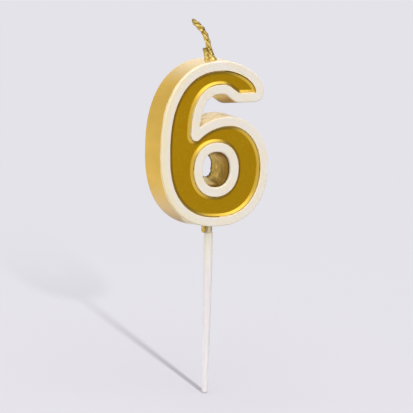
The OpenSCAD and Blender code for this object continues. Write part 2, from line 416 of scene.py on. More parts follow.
def film_profile():
    """Depth and offset pairs over the face's lacquer: a steep lip, a slope and the flat floor."""
    lip = [(INNER_EDGE_R, -0.01), (0.30, -0.06), (0.44, -0.16), (0.48, -0.30)]
    slope = [(0.50, -0.38), (0.58, -0.50), (1.10, -1.32)]
    return lip + slope + [(1.16, -1.42), (1.19, -1.50), (RECESS_DEPTH, -1.58), (RECESS_DEPTH, -1.85)]


def recess_profile():
    """The wax under the face's lacquer, from the rim down to the recess's floor."""
    floor_y = RECESS_DEPTH + FILM_T
    return [(INNER_EDGE_R, 0), (floor_y, -BEVEL_RUN), (floor_y, -BEVEL_RUN - FLOOR_SKIRT)]


def mirrored(pairs):
    """The same profile on the ring's side, where the wall faces the other way."""
    return [(y, -d) for y, d in pairs]


def wax_numeral():
    """The white wax: rim, outer wall, back, the ring round the counter, and the recess under the lacquer.
    Its points know how far they lie from the gold face, as reach."""
    shell = Shell()
    front = (
        recess_profile()[:0:-1] + bend(INNER_EDGE_R, INNER_EDGE_R, INNER_EDGE_R, 180, 270)
        + [(0, FLAT_START), (0, RIM_W - EDGE_R - FLAT_END)] + bend(EDGE_R, RIM_W - EDGE_R, EDGE_R, -90, 0)
    )
    back_d = wall_d(DEPTH) - FILM_T
    outer = (
        front + [(SHOULDER_Y, wall_d(SHOULDER_Y)), (BARE_RIM, wall_d(BARE_RIM))]
        + [(BARE_RIM, wall_d(BARE_RIM) - FILM_T), (DEPTH - EDGE_R, back_d)]
        + bend(DEPTH - EDGE_R, back_d - EDGE_R, EDGE_R, 0, 90)[1:] + [(DEPTH, back_d - EDGE_R - BACK_FLAT)]
    )
    hole_back = hole_d(DEPTH) + FILM_T
    flat_back = hole_back + HOLE_CHAMFER
    ring = (
        mirrored(front) + [(SHOULDER_Y, hole_d(SHOULDER_Y)), (BARE_RIM, hole_d(BARE_RIM))]
        + [(BARE_RIM, hole_d(BARE_RIM) + FILM_T), (DEPTH - HOLE_CHAMFER, hole_back)]
        + [(DEPTH, flat_back), (DEPTH, flat_back + BACK_FLAT)]
    )
    outer_rings = shell.run(face_outline, outer)
    ring_rings = shell.run(ring_outline, ring)
    shell.cap(outer_rings[0], ring_rings[0])
    shell.cap(outer_rings[-1], ring_rings[-1], dish=BACK_DISH)
    piece = shell.piece("wax_numeral")
    reaches = np.zeros(len(shell.points))
    for ids, (y, d) in zip(outer_rings + ring_rings, outer + mirrored(ring)):
        reaches[ids] = d
    mark(piece, reach=reaches)
    return piece


def gold_face():
    """The gold lacquer in the recess: a thin skin with a steep lip, a sloping wall and a flat floor."""
    shell = Shell()
    top_outer = shell.run(face_outline, film_profile())
    top_ring = shell.run(ring_outline, mirrored(film_profile()))
    under_outer = shell.run(face_outline, recess_profile())
    under_ring = shell.run(ring_outline, mirrored(recess_profile()))
    shell.bridge(top_outer[0], under_outer[0])
    shell.bridge(top_ring[0], under_ring[0])
    shell.cap(top_outer[-1], top_ring[-1])
    shell.cap(under_outer[-1], under_ring[-1])
    return shell.piece("gold_face")


def gold_side():
    """The gold lacquer on the outer wall, wrapped round the back edge."""
    shell = Shell()
    back_d = wall_d(DEPTH)
    pairs = (
        [(BARE_RIM, wall_d(BARE_RIM) - FILM_T)]
        + [(y, wall_d(y)) for y in spread(BARE_RIM, DEPTH - EDGE_R, SIDE_STEPS)]
        + bend(DEPTH - EDGE_R, back_d - EDGE_R, EDGE_R, 0, 90)
        + [(DEPTH, back_d - EDGE_R - FILM_T)]
    )
    rings = shell.run(face_outline, pairs)
    shell.bridge(rings[-1], rings[0])
    return shell.piece("gold_side")


def foot_of(t):
    """How near the angle t lies to the flash at the counter's foot, from 0 to 1."""
    return bell(t, FLASH_T, FLASH_WIDTH)


def flash(t, y):
    """How far the counter's wall runs into the opening at angle t and depth y: a thick flash at its foot,
    a ragged thin one all round its back edge, and slow waves."""
    deep = max(0.0, (y - 0.45 * DEPTH) / (0.55 * DEPTH)) ** 1.5
    c, s = math.cos(math.radians(t)), math.sin(math.radians(t))
    ragged = noise.noise(Vector((5 * c, 5 * s, 3.7)))
    coarse = noise.noise(Vector((1.4 * c, 1.4 * s, y / 5)))
    return 1.7 * foot_of(t) * deep + 0.6 * abs(ragged) * deep ** 3 + 0.22 * coarse * min(1, y / 5)


def counter_outline(y, d):
    """The counter's own outline at depth y, moved out by d."""
    points = []
    for p, t in zip(ring_outline(hole_d(y) + d), spread(0, 360, RING_STEPS)):
        points.append(p + (RING_C - p).normalized() * flash(t, y))
    return points


def gold_counter():
    """The gold lacquer on the counter's wall, with a little flash at its back edge."""
    shell = Shell()
    depths = spread(BARE_RIM, DEPTH, COUNTER_STEPS) + [DEPTH]
    places = [(y, 0) for y in depths] + [(DEPTH, FILM_T), (BARE_RIM, FILM_T)]
    rings = [shell.ring(counter_outline(y, d), y) for y, d in places]
    shell.join(rings + rings[:1])
    piece = shell.piece("gold_counter")
    mark(piece, foot=[foot_of(t) for _ in places for t in spread(0, 360, RING_STEPS)])
    return piece


# ---------------------------------------------------------------- the wick

WICK_ROUTE = [
    (-9.0, MID_Y, 82.8), (-7.6, MID_Y, 81.5), (-5.7, MID_Y, 80.0), (-3.6, MID_Y, 77.8),
    (-2.1, MID_Y, 75.0), (-1.1, MID_Y, 71.9), (-0.5, MID_Y, 68.9), (0.1, MID_Y, 66.0),
    (0.0, MID_Y, 62.8), (-1.9, MID_Y, 60.2), (-6.0, MID_Y, 58.2), (-10.6, MID_Y, 54.2),
    (-14.2, MID_Y, 48.2), (-16.2, MID_Y, 40.5), (-16.9, MID_Y, 31.0), (-16.2, MID_Y, 21.5),
    (-13.6, MID_Y, 13.5), (-9.4, MID_Y, 8.0), (-5.2, MID_Y - 0.6, 3.8),
    (-2.6, MID_Y - 1.3, -0.6), (-2.1, MID_Y - 1.5, -4.0), (-2.1, MID_Y - 1.5, -7.2),
]
SHORT_ROUTE = [
    (-3.3, MID_Y - 1.2, 71.2), (-2.8, MID_Y - 1.2, 68.6), (-2.2, MID_Y - 1.2, 66.0),
    (-2.1, MID_Y - 1.6, 63.8), (-2.2, MID_Y - 2.0, 63.0),
]


def smooth_route(route):
    """Evenly spaced points on a smooth curve through the route's points, and how far along each one lies."""
    p = [Vector(q) for q in route]
    p = [p[0]] + p + [p[-1]]
    dense = []
    for a, b, c, e in zip(p, p[1:], p[2:], p[3:]):
        for t in spread(0, 1, 40):
            cubic = (3 * b - a - 3 * c + e) * t ** 3
            dense.append((2 * b + (c - a) * t + (2 * a - 5 * b + 4 * c - e) * t ** 2 + cubic) / 2)
    dense.append(p[-1])
    runs = np.concatenate([[0], np.cumsum([(b - a).length for a, b in zip(dense, dense[1:])])])
    steps = round(runs[-1] / ROUTE_SPACING)
    wanted = np.linspace(0, runs[-1], steps + 1)
    columns = [np.interp(wanted, runs, [q[axis] for q in dense]) for axis in range(3)]
    return [Vector(q) for q in zip(*columns)], wanted.tolist()


def across(points, i):
    """Two directions square to the route at point i: the first is as near to +Y as it can be."""
    heading = (points[min(i + 1, len(points) - 1)] - points[max(i - 1, 0)]).normalized()
    u = (Vector((0, 1, 0)) - heading.y * heading).normalized()
    return u, u.cross(heading)


def around(t, u, v):
    """The direction at angle t, in radians, from u towards v."""
    return math.cos(t) * u + math.sin(t) * v


def full_circle(sides):
    return [2 * math.pi * k / sides for k in range(sides)]


def ply_swell(s, total, seed, flare):
    """A ply's thickness at s millimetres from its tip, as a part of its radius."""
    swell = 1.0 - 0.12 * abs(noise.noise(Vector((seed, s * 0.6, 0)))) + 0.05 * math.sin(4.2 * s + seed)
    swell *= 0.62 + 0.38 * grown(total - s, 0.35)
    if flare:
        return swell * ((1 + flare * bell(s, 0, 1.3)) * (0.7 + 0.3 * grown(s, 0.25)))
    swell *= 0.5 + 0.5 * grown(s, 1.4, 0.7)
    swell *= 1 + 0.14 * bell(s, BULGE_RUN, 1.4)
    return swell * (1 - 0.16 * bell(s, CREASE_RUN, 0.5))


def ply_gather(s, total):
    """How far a ply's middle stands from the wick's, as a part of its orbit: it is drawn in at both ends."""
    return min(0.2 + 0.8 * grown(s, 2.2, 1), 0.3 + 0.7 * grown(total - s - 4, 3, 1))


def strand(name, route, radius, orbit, phase, flare=0.0, seed=0):
    """A ply of cotton: its middle on a helix about the route, knotted by yarns that cross each other.
    flare splays its upper end, as on the short ply."""
    shell = Shell()
    points, runs = smooth_route(route)
    total = runs[-1]
    cores, ridges, rings = [], [], []
    for i, (p, s) in enumerate(zip(points, runs)):
        u, v = across(points, i)
        turn = math.radians(phase + 360 * s / TWIST_PITCH)
        swell = ply_swell(s, total, seed, flare)
        gather = ply_gather(s, total)
        centre = p + orbit * gather * around(turn, u, v)
        ring = []
        for k, step in enumerate(full_circle(PLY_SIDES)):
            t = turn + step
            one = abs(math.sin(math.pi * (k / PLY_SIDES * YARNS - s / 1.5)))
            other = abs(math.sin(math.pi * (k / PLY_SIDES * YARNS + s / 1.1)))
            ridge = 0.80 + 0.20 * max(one, 0.9 * other) ** 0.8
            rough = 1 - 0.18 * abs(noise.noise(Vector((seed + 2 * math.cos(t), 2 * math.sin(t), s * 1.5))))
            q = centre + radius * swell * ridge * rough * around(t, u, v)
            ring.append(q)
            cores.append((q - p).length / (orbit * gather + radius * swell))
            ridges.append(ridge)
        rings.append(shell.add(ring))
    shell.join(rings)
    for ring in (rings[0], rings[-1]):
        hub = shell.add([sum((shell.points[i] for i in ring), Vector()) / PLY_SIDES])[0]
        cores.append(0.4)
        ridges.append(0.85)
        shell.faces += [(ring[k], ring[(k + 1) % PLY_SIDES], hub) for k in range(PLY_SIDES)]
    piece = shell.piece(name, smooth_angle=50)
    mark(piece, core=cores, ridge=ridges, run=[s for s in runs for _ in range(PLY_SIDES)] + [0, total])
    return piece


def lacquered(shell, name, rings, cores, ridges):
    """A closed piece of the wick that the lacquer has sealed, so it shows none of the tip's shading."""
    shell.join(rings)
    shell.close(rings)
    piece = shell.piece(name, smooth_angle=60)
    mark(piece, core=cores, ridge=ridges, run=[IN_WAX_RUN] * len(cores))
    return piece


def wick_collar():
    """Lacquer and cotton splayed round the wick where it leaves the numeral, in lumps."""
    shell = Shell()
    foot = Vector((0.0, MID_Y, FACE_TOP.y + wall_d(MID_Y) - COLLAR_SINK))
    head = Vector((COLLAR_LEAN, MID_Y, foot.z + COLLAR_H))
    cores, ridges, rings = [], [], []
    for rise in spread(0, 1, COLLAR_STEPS) + [1]:
        centre = foot.lerp(head, rise)
        radius = COLLAR_R + COLLAR_SPREAD * (1 - rise) ** 2.1
        ring = []
        for t in full_circle(COLLAR_SIDES):
            knots = abs(math.sin(2.5 * t - 6 * rise)) * abs(math.sin(2.5 * t + 7.5 * rise + 0.8))
            lump = noise.noise(Vector((2.6 * math.cos(t), 2.6 * math.sin(t), 4.5 * rise)))
            r = radius * (0.80 + 0.20 * knots ** 0.6) + 0.40 * lump * (1 - rise) ** 0.5
            ring.append(centre + Vector((r * math.cos(t), r * math.sin(t), 0)))
            cores.append(0.55 + 0.45 * knots ** 0.5)
            # The ridge value is lowered on the collar's right side, so the finish paints shade there.
            ridges.append(0.85 + 0.15 * knots + 0.1 * lump - 0.12 * max(0, math.cos(t)))
        rings.append(shell.add(ring))
    return lacquered(shell, "wick_collar", rings, cores, ridges)


def wick_stub():
    """The wick's other end beside the pick, rounded off and sealed by the lacquer."""
    shell = Shell()
    points, runs = smooth_route(WICK_ROUTE)
    end = [(p, runs[-1] - s) for p, s in zip(points, runs) if runs[-1] - s < STUB_L]
    points = [p for p, _ in end]
    cores, ridges, rings = [], [], []
    for i, (p, left) in enumerate(end):
        u, v = across(points, i)
        dome = 1 - min(1, left / STUB_DOME)
        radius = max(STUB_R * (1 - dome ** 2) ** 0.5, 0.05)
        ring = []
        for t in full_circle(STUB_SIDES):
            lobes = abs(math.cos(1.5 * t + left))
            rough = noise.noise(Vector((2 * math.cos(t), 2 * math.sin(t), 1.2 * left)))
            ring.append(p + STUB_SHIFT + radius * (0.93 + 0.05 * lobes + 0.04 * rough) * around(t, u, v))
            cores.append(0.78)
            ridges.append(0.865 + 0.05 * lobes)
        rings.append(shell.add(ring))
    return lacquered(shell, "wick_stub", rings, cores, ridges)


# ---------------------------------------------------------------- the pick

def lathe(name, profile):
    """A turned piece about the pick's axis from height and radius pairs. A fine moulding seam runs down its
    front and its back."""
    shell = Shell()
    rings = []
    for z, r in profile:
        points = []
        for t in spread(0, 360, PICK_SIDES):
            off = min(abs(t - 90), abs(t - 270))
            p = polar(r * (1 + SEAM_RISE * bell(off, 0, SEAM_WIDTH)), t)
            points.append((p.x, p.y, z))
        rings.append(shell.add(points))
    shell.join(rings)
    shell.close(rings)
    return shell.piece(name, smooth_angle=40, place=Vector())


def pick_stick():
    """The pick from its point up: taper, shaft, rounded top edge, neck, and the barbed shank in the wax."""
    tip_z = FLOOR_Z + POINT_R
    point = [(tip_z + p.y, p.x) for p in (polar(POINT_R, t) for t in spread(-88, 0, 12))]
    taper = list(zip(spread(tip_z, -SHAFT_L, 10), spread(POINT_R, SHAFT_R, 10))) + [(-SHAFT_L, SHAFT_R)]
    shaft = [(-SHAFT_L * 0.6, SHAFT_R), (-SHAFT_L * 0.3, SHAFT_R), (-2 * TOP_EDGE_R, SHAFT_R)]
    edge = [polar(TOP_EDGE_R, t) for t in spread(0, 75, 6)]
    top_edge = [(p.y - TOP_EDGE_R, SHAFT_R - TOP_EDGE_R + p.x) for p in edge]
    neck = [(0.0, NECK_R), (0.15, NECK_R - 0.03), (SHANK_Z, NECK_R), (SHANK_Z + 0.05, SHANK_R)]
    shank = []
    for i in range(1, BARBS + 1):
        barb_z = SHANK_Z + SHANK_H * i / (BARBS + 1) - BARB_L / 2
        shank += [(barb_z - 0.02, SHANK_R), (barb_z, NECK_R), (barb_z + BARB_L, SHANK_R)]
    top_z = SHANK_Z + SHANK_H
    end = [(top_z - 0.2, SHANK_R), (top_z - 0.05, SHANK_R - 0.15), (top_z - 0.02, SHANK_R - 0.5)]
    return lathe("pick_stick", point + taper + shaft + top_edge + neck + shank + end)


# ---------------------------------------------------------------- materials

class Finish:
    """A node material and short ways to build it."""

    def __init__(self, name):
        self.material = bpy.data.materials.new(name)
        self.material.use_nodes = True
        self.tree = self.material.node_tree
        self.shader = self.tree.nodes["Principled BSDF"]
        coords = self.tree.nodes.new("ShaderNodeTexCoord").outputs
        self.normal = coords["Normal"]
        self.mm = self.vector("SCALE", coords["Object"], Scale=1 / MM)
        parts = self.node("ShaderNodeSeparateXYZ", Vector=self.mm)
        self.x, self.y, self.z = parts.outputs

    def node(self, kind, settings=None, **inputs):
        made = self.tree.nodes.new(kind)
        for key, value in (settings or {}).items():
            setattr(made, key, value)
        for key, value in inputs.items():
            self.plug(made.inputs[key.replace("_", " ")], value)
        return made

    def plug(self, socket, value):
        if isinstance(value, bpy.types.NodeSocket):
            self.tree.links.new(value, socket)
        elif value is not None:
            socket.default_value = value

    def math(self, operation, a, b=0.0):
        made = self.node("ShaderNodeMath", {"operation": operation})
        self.plug(made.inputs[0], a)
        self.plug(made.inputs[1], b)
        return made.outputs[0]

    def times(self, a, b):
        return self.math("MULTIPLY", a, b)

    def wandering(self, value, wave, size):
        """value, moved up and down by a noise from 0 to 1, over size in all."""
        return self.math("ADD", value, self.times(self.math("SUBTRACT", wave, 0.5), size))

    def vector(self, operation, a, b=None, result="Vector", **inputs):
        made = self.node("ShaderNodeVectorMath", {"operation": operation}, **inputs)
        self.plug(made.inputs[0], a)
        self.plug(made.inputs[1], b)
        return made.outputs[result]

    def facing_up(self):
        """How far the surface faces up: 1 on a level top, 0 on a wall and -1 underneath."""
        return self.node("ShaderNodeSeparateXYZ", Vector=self.normal).outputs[2]

    def depth(self):
        """Depth behind the numeral's front plane, in millimetres."""
        return self.math("SUBTRACT", self.y, PLACE.y)

    def noise(self, scale, detail=2.0, roughness=0.5, stretch=(1, 1, 1), shift=0.0):
        """Noise from about 0 to 1 whose features are about 1 / scale millimetres."""
        spot = self.vector("MULTIPLY", self.mm, stretch)
        spot = self.vector("ADD", spot, (shift, 2 * shift, -shift))
        made = self.node("ShaderNodeTexNoise", Vector=spot, Scale=scale, Detail=detail, Roughness=roughness)
        return made.outputs["Fac"]

    def line(self, value, low, high, to_low=0.0, to_high=1.0, kind="LINEAR"):
        """to_low where value is at low, to_high where it is at high, and a straight way between them."""
        made = self.node("ShaderNodeMapRange", {"interpolation_type": kind})
        for socket, given in zip(made.inputs, (value, low, high, to_low, to_high)):
            self.plug(socket, given)
        return made.outputs[0]

    def step(self, value, low, high, to_low=0.0, to_high=1.0):
        """The same with a smooth way between them. low may be the greater of the two."""
        return self.line(value, low, high, to_low, to_high, "SMOOTHSTEP")

    def mix(self, factor, a, b):
        made = self.node("ShaderNodeMix", {"data_type": "RGBA"})
        self.plug(made.inputs[0], factor)
        for socket, colour in ((made.inputs[6], a), (made.inputs[7], b)):
            self.plug(socket, colour if isinstance(colour, bpy.types.NodeSocket) else (*colour, 1))
        return made.outputs[2]

    def attribute(self, name):
        return self.node("ShaderNodeAttribute", {"attribute_name": name}).outputs["Fac"]

    def bump(self, *layers):
        """Layers of (height, depth in millimetres)."""
        normal = None
        for height, deep in layers:
            made = self.node("ShaderNodeBump", Distance=deep * MM, Height=height, Normal=normal)
            made.inputs["Strength"].default_value = 1.0
            normal = made.outputs["Normal"]
        self.plug(self.shader.inputs["Normal"], normal)

    def set(self, **sockets):
        for key, value in sockets.items():
            self.plug(self.shader.inputs[key.replace("_", " ")], value)
        return self.material


# The colours, in linear light.
WAX_WHITE = (0.70, 0.665, 0.60)
WAX_CREAM = (0.71, 0.65, 0.53)
WAX_BRIM = (0.74, 0.65, 0.40)
WAX_INNER_EDGE_HIGHLIGHT = (0.92, 0.72, 0.34)
OVERSPRAY = (0.70, 0.58, 0.32)

FACE_DEEP = (0.485, 0.267, 0.004)
FACE_PALE = (0.57, 0.325, 0.010)
FACE_CLOUD = (0.52, 0.26, 0.004)
FACE_FLECK = (0.66, 0.42, 0.03)
FACE_UPPER_SHADE = (0.44, 0.235, 0.003)
FACE_SLOPE = (0.55, 0.365, 0.052)
# Painted light and shade for the lip's dark line: lighter where it faces up, darker where it faces down.
LIP_LIT = (0.32, 0.18, 0.014)
LIP_SHADED = (0.10, 0.05, 0.004)

SIDE_DEEP = (0.60, 0.375, 0.03)
SIDE_PALE = (0.70, 0.445, 0.055)
SIDE_SPECK = (0.76, 0.505, 0.12)
SIDE_FOOT_LIGHT = (0.76, 0.55, 0.27)
SIDE_TOP_LIGHT = (0.84, 0.70, 0.44)
SIDE_BARE = (0.96, 0.82, 0.56)
THIN_PALE = (1.0, 0.85, 0.50)
THIN_DULL = (0.74, 0.59, 0.33)
THIN_LEFT_SHADE = (0.55, 0.40, 0.17)
HOOK_LIT_LEFT = (1.0, 0.73, 0.20)
HOOK_SHADED_RIGHT = (0.56, 0.34, 0.03)

COUNTER_DARK = (0.34, 0.20, 0.02)
COUNTER_PALE = (0.86, 0.60, 0.14)
COUNTER_SPECK = (0.56, 0.38, 0.09)
COUNTER_PATCH = (0.25, 0.155, 0.02)
COUNTER_FRONT_TONE_AND_SHADE = (0.42, 0.23, 0.005)
COUNTER_RIM_SHADE = (0.14, 0.075, 0.004)
COUNTER_SHELF_HIGHLIGHT = (1.0, 0.80, 0.34)
COUNTER_BACK_SHADE = (0.12, 0.07, 0.01)

COTTON_DARK = (0.38, 0.25, 0.035)
COTTON_PALE = (0.88, 0.70, 0.25)
COTTON_GROOVE_SHADE = (0.30, 0.17, 0.015)
COTTON_CORE_SHADE = (0.26, 0.15, 0.015)
COTTON_UPPER = (0.36, 0.27, 0.04)
COTTON_TIP_SHADE = (0.20, 0.13, 0.015)
COTTON_CREASE_SHADE = (0.30, 0.16, 0.03)

PICK_GREY = (0.665, 0.642, 0.642)
PICK_WHITE = (0.715, 0.69, 0.69)
PICK_UPPER = (0.74, 0.71, 0.60)
PICK_SPRAY = (0.60, 0.52, 0.35)

# The middle of the open aperture under the hook, where the gold lies thin, in the part's frame.
APERTURE = PLACE + Vector((2, 7, 44))


def wax_finish():
    """White wax: creamy in places, stained by the gold along the rim, with a painted warm highlight along its
    inner edge, and with overspray over its outer edges and its back."""
    f = Finish("white_wax")
    depth, reach = f.depth(), f.attribute("reach")
    fine = f.noise(1.4, 4, 0.6)
    white = f.mix(f.step(f.noise(0.16, 3), 0.35, 0.7), WAX_WHITE, WAX_CREAM)
    edge = f.wandering(depth, fine, 0.5)
    spray = f.times(f.step(edge, 0.10, 0.62), f.step(depth, DEPTH - 0.1, DEPTH - 1))
    leftward = f.step(f.x, -6, PLACE.x + FACE_LEFT, 0.15, 0.85)
    brim = f.times(f.times(f.step(reach, 0.2, RIM_W), leftward), f.step(f.y, PLACE.y + 1, PLACE.y))
    white = f.mix(brim, white, WAX_BRIM)
    # Painted highlight: the wax's inner edge next to the gold is made warmer and lighter than the white wax.
    inner_edge_highlight = f.times(f.step(reach, 0.5, 0.0), f.step(depth, 0.5, 0.3, 0, 0.8))
    white = f.mix(inner_edge_highlight, white, WAX_INNER_EDGE_HIGHLIGHT)
    colour = f.mix(f.times(spray, 0.75), white, OVERSPRAY)
    f.bump((f.noise(0.35, 2), 0.06), (fine, 0.02), (f.noise(6, 2), 0.006))
    return f.set(
        Base_Color=colour, Roughness=f.line(fine, 0.3, 0.7, 0.42, 0.58), Subsurface_Weight=0.25,
        Subsurface_Radius=(1.0, 0.75, 0.5), Subsurface_Scale=0.0012, IOR=1.44,
    )


def face_finish():
    """Deep gold lacquer: speckled, cloudy and flecked, with a paler slope, painted shade towards its top, and
    a painted dark line of shade along the lip, darkest where the lip faces down.
    """
    f = Finish("gold_face_lacquer")
    depth = f.depth()
    speck = f.noise(1.5, 3, 0.75)
    gold = f.mix(f.line(speck, 0.3, 0.7), FACE_DEEP, FACE_PALE)
    gold = f.mix(f.step(f.noise(0.12, 3), 0.4, 0.7, 0, 0.4), gold, FACE_CLOUD)
    gold = f.mix(f.step(f.noise(1.3, 2, shift=5), 0.60, 0.72, 0, 0.6), gold, FACE_FLECK)
    # Painted shade: the face is darkened towards its top, below the rim.
    gold = f.mix(f.step(f.z, PLACE.z + 42, PLACE.z + 60, 0, 0.25), gold, FACE_UPPER_SHADE)
    gold = f.mix(f.step(depth, RECESS_DEPTH - 0.02, RECESS_DEPTH - 0.12), gold, FACE_SLOPE)
    # Painted shade: a dark line along the lip, darker still where the lip faces down.
    shaded = f.mix(f.step(f.facing_up(), -0.1, -0.8), LIP_LIT, LIP_SHADED)
    gold = f.mix(f.times(f.step(depth, 0.52, 0.46), 0.92), gold, shaded)
    f.bump((f.noise(0.6, 2), 0.03), (speck, 0.014), (f.noise(5, 2), 0.004))
    return f.set(Base_Color=gold, Metallic=1.0, Roughness=f.line(speck, 0.3, 0.7, 0.28, 0.36))


def side_finish():
    """Pale gold lacquer on the outer wall: thin in the aperture, with painted light and shade under the
    hook's end, on faces turned up and towards the notch, and worn through to the wax along its front edge.
    Towards the numeral's foot it is painted paler and its bare strip widens, as painted light."""
    f = Finish("gold_side_lacquer")
    depth, up = f.depth(), f.facing_up()
    speck = f.noise(1.2, 4, 0.7)
    cloud = f.noise(0.10, 3, stretch=(1, 0.5, 1))
    gold = f.mix(f.line(cloud, 0.35, 0.65), SIDE_DEEP, SIDE_PALE)
    gold = f.mix(f.line(speck, 0.3, 0.7, 0, 0.4), gold, SIDE_SPECK)
    # Painted light: the side is made paler towards the numeral's foot.
    gold = f.mix(f.step(f.z, PLACE.z + 17, PLACE.z - 3), gold, SIDE_FOOT_LIGHT)
    # Painted light: faces turned up are made paler, as if lit from above.
    gold = f.mix(f.step(up, 0.55, 1.0, 0, 0.75), gold, SIDE_TOP_LIGHT)
    within = f.step(f.vector("DISTANCE", f.mm, APERTURE, "Value"), 17, 12)
    thin = f.times(within, f.step(up, 0.2, 0.7))
    streaky = f.mix(f.line(f.noise(0.35, 3, shift=2), 0.44, 0.60), THIN_PALE, THIN_DULL)
    # Painted shade: the thin lacquer darkens towards the notch on the left.
    streaky = f.mix(f.step(f.x, APERTURE.x - 6.5, APERTURE.x - 10, 0, 0.6), streaky, THIN_LEFT_SHADE)
    gold = f.mix(thin, gold, streaky)
    # Painted light and shade under the hook's end: bright on the left, dark on the right.
    hook = f.mix(f.step(f.x, APERTURE.x + 2.4, APERTURE.x + 5.6), HOOK_LIT_LEFT, HOOK_SHADED_RIGHT)
    gold = f.mix(f.times(within, f.step(up, 0.0, -0.6)), gold, hook)
    # The bare strip along the front edge is wax showing through; its widening towards the foot is painted
    # light.
    width = f.math("ADD", f.times(f.step(f.z, PLACE.z + 2, PLACE.z - 6), 9.0), 1.0)
    front = f.wandering(depth, f.noise(0.25, 3, shift=9), 1.5)
    bare = f.step(f.math("DIVIDE", front, width), 1.7, 0.7)
    waxy = f.math("MAXIMUM", bare, f.times(thin, 0.5))
    f.bump((f.noise(0.5, 2), 0.04), (speck, 0.02), (f.noise(5, 2), 0.006))
    return f.set(
        Base_Color=f.mix(bare, gold, SIDE_BARE), Metallic=f.line(waxy, 0, 1, 0.88, 0.1),
        Roughness=f.line(speck, 0.3, 0.7, 0.34, 0.5), Coat_Weight=0.1, Coat_Roughness=0.3,
    )


def counter_finish():
    """Brown gold lacquer in the counter: streaked and patchy, darker at its front edge, partly its own tone
    and partly painted shade, with painted shade along its back edge and a painted highlight on the shelf that
    the flash makes at its foot."""
    f = Finish("gold_counter_lacquer")
    depth = f.depth()
    streak = f.noise(0.8, 4, 0.65, stretch=(1, 1, 0.22))
    speck = f.noise(1.6, 3, 0.7, shift=4)
    patch = f.noise(0.3, 3, 0.6, shift=11)
    gold = f.mix(f.line(streak, 0.32, 0.68), COUNTER_DARK, COUNTER_PALE)
    gold = f.mix(f.line(speck, 0.3, 0.7, 0, 0.35), gold, COUNTER_SPECK)
    gold = f.mix(f.step(patch, 0.42, 0.62, 0, 0.45), gold, COUNTER_PATCH)
    # Darker towards the front edge, partly the lacquer's own tone and partly painted shade; nearest the edge
    # a painted dark line of shade.
    gold = f.mix(f.step(depth, 7.5, 2.5, 0, 0.85), gold, COUNTER_FRONT_TONE_AND_SHADE)
    gold = f.mix(f.step(depth, 2.6, 1.2), gold, COUNTER_RIM_SHADE)
    # The shelf of flash at the counter's foot is less metallic, and its bright colour is a painted highlight.
    shelf = f.times(f.step(f.attribute("foot"), 0.3, 0.85), f.step(depth, 2.4, 5.5))
    gold = f.mix(f.times(shelf, f.line(speck, 0.3, 0.6, 0.5, 1)), gold, COUNTER_SHELF_HIGHLIGHT)
    # Painted shade: a ragged dark line along the back edge, where the flash lies in shadow.
    ragged = f.math("ADD", depth, f.line(speck, 0.3, 0.7, -0.7, 0.7))
    gold = f.mix(f.step(ragged, DEPTH - 1.5, DEPTH - 0.7, 0, 0.9), gold, COUNTER_BACK_SHADE)
    f.bump((streak, 0.10), (speck, 0.10))
    return f.set(
        Base_Color=gold, Metallic=f.line(shelf, 0, 1, 0.9, 0.3), Roughness=f.line(speck, 0.3, 0.7, 0.3, 0.5),
    )


def wick_finish():
    """Gilded cotton, with painted shade in its grooves, towards its middle, at its tip and in the crease."""
    f = Finish("gold_wick_cotton")
    core, ridge, run = f.attribute("core"), f.attribute("ridge"), f.attribute("run")
    speck = f.noise(1.1, 3, 0.7)
    gold = f.mix(f.line(speck, 0.36, 0.64), COTTON_DARK, COTTON_PALE)
    # Painted shade: the grooves between yarns and the wick's middle are darkened, and so are the tip and the
    # crease.
    gold = f.mix(f.step(ridge, 0.96, 0.84, 0, 0.7), gold, COTTON_GROOVE_SHADE)
    gold = f.mix(f.step(core, 0.78, 0.5, 0, 0.45), gold, COTTON_CORE_SHADE)
    gold = f.mix(f.step(run, 6.4, 1.0, 0, 0.25), gold, COTTON_UPPER)
    gold = f.mix(f.step(run, 2.2, 0.1, 0, 0.75), gold, COTTON_TIP_SHADE)
    crease = f.step(f.math("ABSOLUTE", f.math("SUBTRACT", run, CREASE_RUN)), 0.8, 0.2, 0, 0.7)
    gold = f.mix(crease, gold, COTTON_CREASE_SHADE)
    f.bump((f.noise(2.5, 3, 0.7), 0.10))
    return f.set(Base_Color=gold, Metallic=0.8, Roughness=f.line(speck, 0.3, 0.7, 0.25, 0.5))


def pick_finish():
    """White plastic: faintly streaked lengthwise, creamy near the wax, and gold with overspray on top."""
    f = Finish("white_pick_plastic")
    streak = f.noise(0.5, 3, stretch=(1, 1, 0.06))
    speck = f.noise(3, 3, 0.6)
    white = f.mix(f.line(streak, 0.3, 0.7), PICK_GREY, PICK_WHITE)
    white = f.mix(f.step(f.z, -26, -2, 0, 0.85), white, PICK_UPPER)
    spray = f.step(f.math("ADD", f.z, f.times(speck, 1.2)), -0.3, 1.2)
    f.bump((streak, 0.02), (speck, 0.006))
    return f.set(
        Base_Color=f.mix(spray, white, PICK_SPRAY), Metallic=f.times(spray, 0.6),
        Roughness=f.line(speck, 0.3, 0.7, 0.34, 0.5),
        Subsurface_Weight=0.8, Subsurface_Radius=(1, 0.95, 0.9), Subsurface_Scale=0.003,
    )


# ---------------------------------------------------------------- the pieces

def dress(piece, finish, slot, *nodes):
    """Gives a piece its finish, hangs it on the root body and hides the CAD nodes that it stands for."""
    piece.data.materials.append(finish)
    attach(piece, "root")
    if nodes:
        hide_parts(*nodes)


